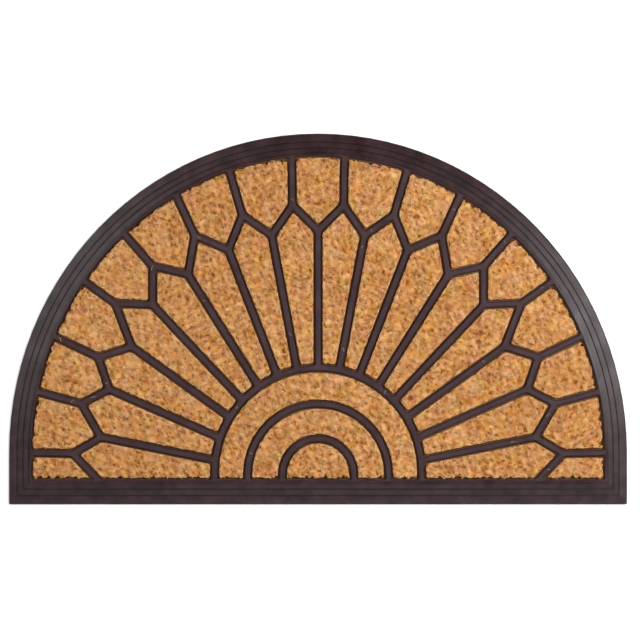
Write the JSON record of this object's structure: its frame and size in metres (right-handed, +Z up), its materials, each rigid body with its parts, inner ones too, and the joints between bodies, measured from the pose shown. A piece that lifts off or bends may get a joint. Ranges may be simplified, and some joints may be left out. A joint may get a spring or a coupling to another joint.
{
  "type": "half-round doormat",
  "caption": "Half-round doormat: a ribbed dark rubber tray with a fan lattice, its cells filled with cut coir inlays.",
  "frame": {"origin": "middle of the mat's plan, on the ground under it", "axes": "+X along the straight foot, +Y towards the crown of the arch, +Z up out of the pile"},
  "size_m": [0.762, 0.4572, 0.01],
  "materials": {
    "moulded_rubber": "satin, finely grained",
    "coir_pile": "matte short cut pile"
  },
  "bodies": {
    "root": {"coir_corner_left": "coir_pile", "coir_corner_right": "coir_pile", "coir_outer_01": "coir_pile", "coir_outer_02": "coir_pile", "coir_outer_03": "coir_pile", "coir_outer_04": "coir_pile", "coir_outer_05": "coir_pile", "coir_outer_06": "coir_pile", "coir_outer_07": "coir_pile", "coir_outer_08": "coir_pile", "coir_outer_09": "coir_pile", "coir_outer_10": "coir_pile", "coir_outer_11": "coir_pile", "coir_outer_12": "coir_pile", "coir_outer_13": "coir_pile", "coir_outer_14": "coir_pile", "coir_outer_15": "coir_pile", "coir_petal_01": "coir_pile", "coir_petal_02": "coir_pile", "coir_petal_03": "coir_pile", "coir_petal_04": "coir_pile", "coir_petal_05": "coir_pile", "coir_petal_06": "coir_pile", "coir_petal_07": "coir_pile", "coir_petal_08": "coir_pile", "coir_petal_09": "coir_pile", "coir_petal_10": "coir_pile", "coir_petal_11": "coir_pile", "coir_petal_12": "coir_pile", "coir_petal_13": "coir_pile", "coir_petal_14": "coir_pile", "coir_petal_15": "coir_pile", "coir_petal_16": "coir_pile", "coir_ring_centre": "coir_pile", "coir_ring_middle": "coir_pile", "coir_ring_outer": "coir_pile", "rubber_tray": "moulded_rubber"}
  },
  "joints": []
}
